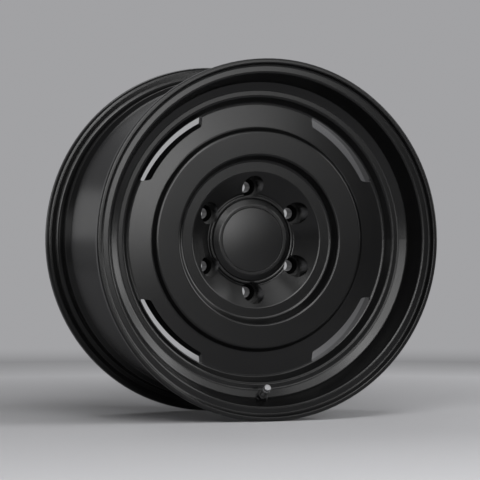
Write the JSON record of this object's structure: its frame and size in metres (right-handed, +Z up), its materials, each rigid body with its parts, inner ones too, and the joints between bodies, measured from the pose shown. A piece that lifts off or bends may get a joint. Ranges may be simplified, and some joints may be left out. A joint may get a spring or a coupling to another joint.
{
  "type": "car wheel",
  "caption": "Deep-dish cast alloy car wheel with a stepped disc face, curved slots near the rim, cone lug seats, a snap-in centre cap and a clamp-in tyre valve.",
  "frame": {"origin": "Centre of the wheel: on the axle's line, halfway between the two rims' edges, which is also the plane of the mounting face", "axes": "Y runs along the axle with the outboard face looking towards -Y, Z is up with the tyre valve at the bottom, and X is to the right as the face is seen"},
  "size_m": [0.4711, 0.2398, 0.4712],
  "materials": {
    "satin_black_alloy": "satin",
    "cap_plastic": "satin",
    "insert_alloy": "satin",
    "spring_steel": "satin",
    "valve_black": "satin",
    "black_rubber": "matte",
    "red_rubber": "matte",
    "core_brass": "satin",
    "cap_nickel": "polished"
  },
  "bodies": {
    "wheel": {"wheel_casting": "satin_black_alloy", "valve_stem": "valve_black", "valve_grommet": "black_rubber", "valve_washer": "valve_black", "valve_nut": "valve_black", "core_plug": "core_brass", "core_barrel": "core_brass", "core_seal": "red_rubber"},
    "cap": {"centre_cap": "cap_plastic", "cap_insert": "insert_alloy", "cap_spring_ring": "spring_steel"},
    "valve_cap_carrier": {"valve_cap_seal": "red_rubber"},
    "valve_cap": {"valve_cap": "cap_nickel"},
    "core_stem": {"core_pin": "core_brass", "core_cup": "core_brass", "core_cup_seal": "black_rubber", "core_spring": "spring_steel"}
  },
  "joints": [
    {"name": "centre_cap_pull", "type": "slide", "parent": "wheel", "child": "cap", "axis": [0, -1, 0], "range_m": [0, 0.03]},
    {"name": "valve_cap_lift", "type": "slide", "parent": "wheel", "child": "valve_cap_carrier", "axis": [0, -0.8619, 0.507], "range_m": [0, 0.00635]},
    {"name": "valve_cap_turn", "type": "hinge", "parent": "valve_cap_carrier", "child": "valve_cap", "pos_m": [0, -0.10201, -0.19486], "axis": [0, -0.8619, 0.507], "range_deg": [0, 2880]},
    {"name": "core_pin_press", "type": "slide", "parent": "wheel", "child": "core_stem", "axis": [0, 0.8619, -0.507], "range_m": [0, 0.0012], "stiffness_N_per_m": 700, "springref_m": -0.002, "deforming": ["core_spring"]}
  ],
  "couplings": [
    {"joint": "valve_cap_turn", "follows": "valve_cap_lift", "rad_per_m": 7915.7}
  ]
}
